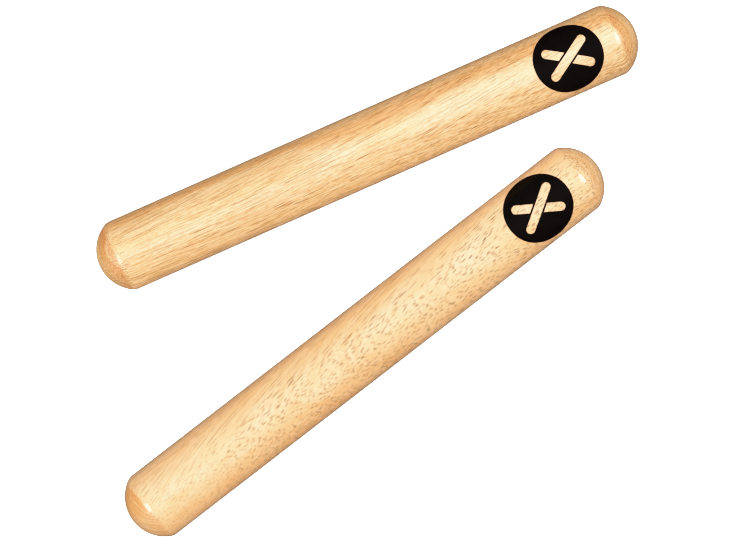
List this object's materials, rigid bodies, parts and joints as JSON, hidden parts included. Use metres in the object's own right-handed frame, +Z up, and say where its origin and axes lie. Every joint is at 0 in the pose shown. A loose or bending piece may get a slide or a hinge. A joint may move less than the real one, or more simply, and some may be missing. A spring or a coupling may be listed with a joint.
{
  "type": "claves",
  "caption": "Loose hardwood claves: solid turned sticks with domed ends and clear lacquer, each with a black printed disc near one end. One stick is struck with the other.",
  "frame": {"origin": "the middle of the pair's footprint on the table, with the lowest side of each stick on z = 0", "axes": "+X runs along the resting clave towards its badge end, +Y from the striking clave towards the resting clave, +Z up off the table, out of the printed discs"},
  "size_m": [0.2262, 0.1078, 0.0255],
  "materials": {
    "resting_clave_wood": "gloss",
    "striking_clave_wood": "gloss",
    "badge_ink": "satin"
  },
  "bodies": {
    "resting_clave": {"resting_clave": "resting_clave_wood", "resting_clave_badge": "badge_ink"},
    "striking_clave": {"striking_clave": "striking_clave_wood", "striking_clave_badge": "badge_ink"}
  },
  "joints": [
    {"name": "strike_swing", "type": "hinge", "parent": "resting_clave", "child": "striking_clave", "pos_m": [-0.07339, -0.03394, 0.0127], "axis": [0, 0, 1], "range_deg": [-60, 5.36]}
  ]
}
